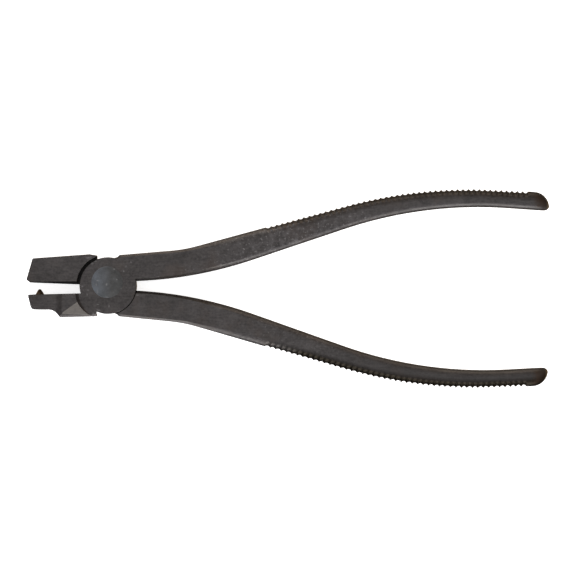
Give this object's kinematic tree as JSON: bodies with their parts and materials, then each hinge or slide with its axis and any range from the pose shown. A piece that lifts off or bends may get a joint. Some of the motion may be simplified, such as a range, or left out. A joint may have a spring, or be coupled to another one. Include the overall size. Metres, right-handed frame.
{
  "type": "running pliers",
  "caption": "All-metal pliers with a riveted half-lap joint: a deep plain jaw bears on scored glass, and a pointed stud in the shallow jaw starts the break.",
  "frame": {"origin": "on the rivet's axis, in the back face of the joint", "axes": "+X along the handles, +Y towards the front lever's grip, +Z along the rivet towards the front face"},
  "size_m": [0.2028, 0.0774, 0.0128],
  "materials": {
    "forged_steel": "black oxide",
    "rivet_steel": "black oxide, ground",
    "stud_steel": "heat-darkened"
  },
  "bodies": {
    "back": {"back_lever": "forged_steel"},
    "front": {"front_lever": "forged_steel", "pivot_rivet": "rivet_steel", "running_stud": "stud_steel"}
  },
  "joints": [
    {"name": "pivot", "type": "hinge", "parent": "back", "child": "front", "pos_m": [0, 0, 0.0048], "axis": [0, 0, 1], "range_deg": [-5.1, 38.5]}
  ]
}
